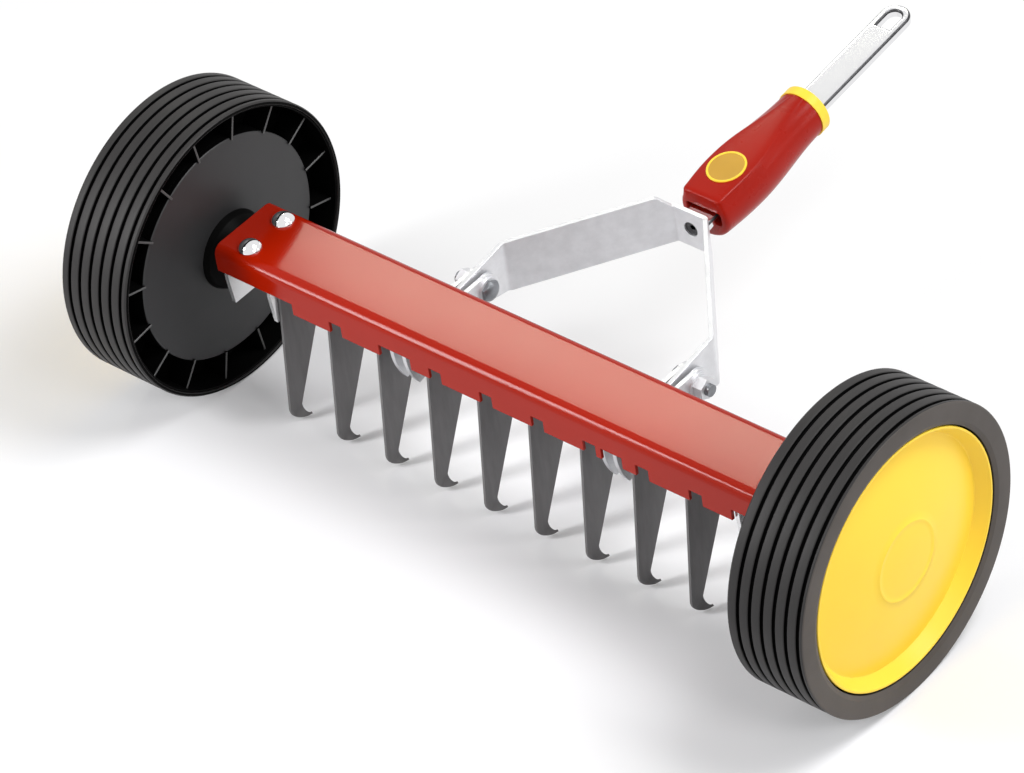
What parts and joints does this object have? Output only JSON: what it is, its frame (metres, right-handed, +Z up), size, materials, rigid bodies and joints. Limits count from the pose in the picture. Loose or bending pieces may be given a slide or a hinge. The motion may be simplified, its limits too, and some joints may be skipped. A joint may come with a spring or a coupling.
{
  "type": "thatch rake",
  "caption": "Rolling thatch rake head: hooked blades under a folded steel bar between two wheels, with a hinged yoke and a slotted tang for a push-on handle.",
  "frame": {"origin": "on the floor under the middle of the axle", "axes": "+X along the bar to the right wheel, +Y back towards the handle, +Z up"},
  "size_m": [0.591, 0.4898, 0.2],
  "materials": {
    "bar_paint": "gloss red enamel",
    "blade_steel": "satin dark grey coating",
    "zinc_steel": "pale zinc plating",
    "bright_rivet": "polished",
    "chrome_steel": "bright chrome plating",
    "dark_bolt": "blackened",
    "tyre_rubber": "matt dark grey",
    "rim_plastic": "satin dark grey",
    "cover_plastic": "satin yellow",
    "socket_plastic": "gloss red"
  },
  "bodies": {
    "rake_bar": {"channel": "bar_paint", "axle": "zinc_steel", "axle_clips": "zinc_steel", "left_bracket": "zinc_steel", "right_bracket": "zinc_steel", "bracket_rivets": "bright_rivet", "blade_1": "blade_steel", "blade_2": "blade_steel", "blade_3": "blade_steel", "blade_4": "blade_steel", "blade_5": "blade_steel", "blade_6": "blade_steel", "blade_7": "blade_steel", "blade_8": "blade_steel", "blade_9": "blade_steel", "blade_10": "blade_steel", "left_inner_lug": "zinc_steel", "left_outer_lug": "zinc_steel", "right_inner_lug": "zinc_steel", "right_outer_lug": "zinc_steel", "pivot_bolts": "dark_bolt", "pivot_washers": "zinc_steel", "pivot_nuts": "zinc_steel"},
    "left_wheel": {"left_tyre": "tyre_rubber", "left_rim": "rim_plastic", "left_hub_cover": "cover_plastic"},
    "right_wheel": {"right_tyre": "tyre_rubber", "right_rim": "rim_plastic", "right_hub_cover": "cover_plastic"},
    "handle_yoke": {"yoke": "zinc_steel", "tang": "chrome_steel", "socket": "socket_plastic", "collar": "cover_plastic"}
  },
  "joints": [
    {"name": "left_wheel_spin", "type": "hinge", "parent": "rake_bar", "child": "left_wheel", "pos_m": [-0.2675, 0, 0.1], "axis": [1, 0, 0], "continuous": true},
    {"name": "right_wheel_spin", "type": "hinge", "parent": "rake_bar", "child": "right_wheel", "pos_m": [0.2675, 0, 0.1], "axis": [1, 0, 0], "continuous": true},
    {"name": "yoke_swing", "type": "hinge", "parent": "rake_bar", "child": "handle_yoke", "pos_m": [0, 0.058, 0.098], "axis": [1, 0, 0], "range_deg": [0, 90]}
  ]
}
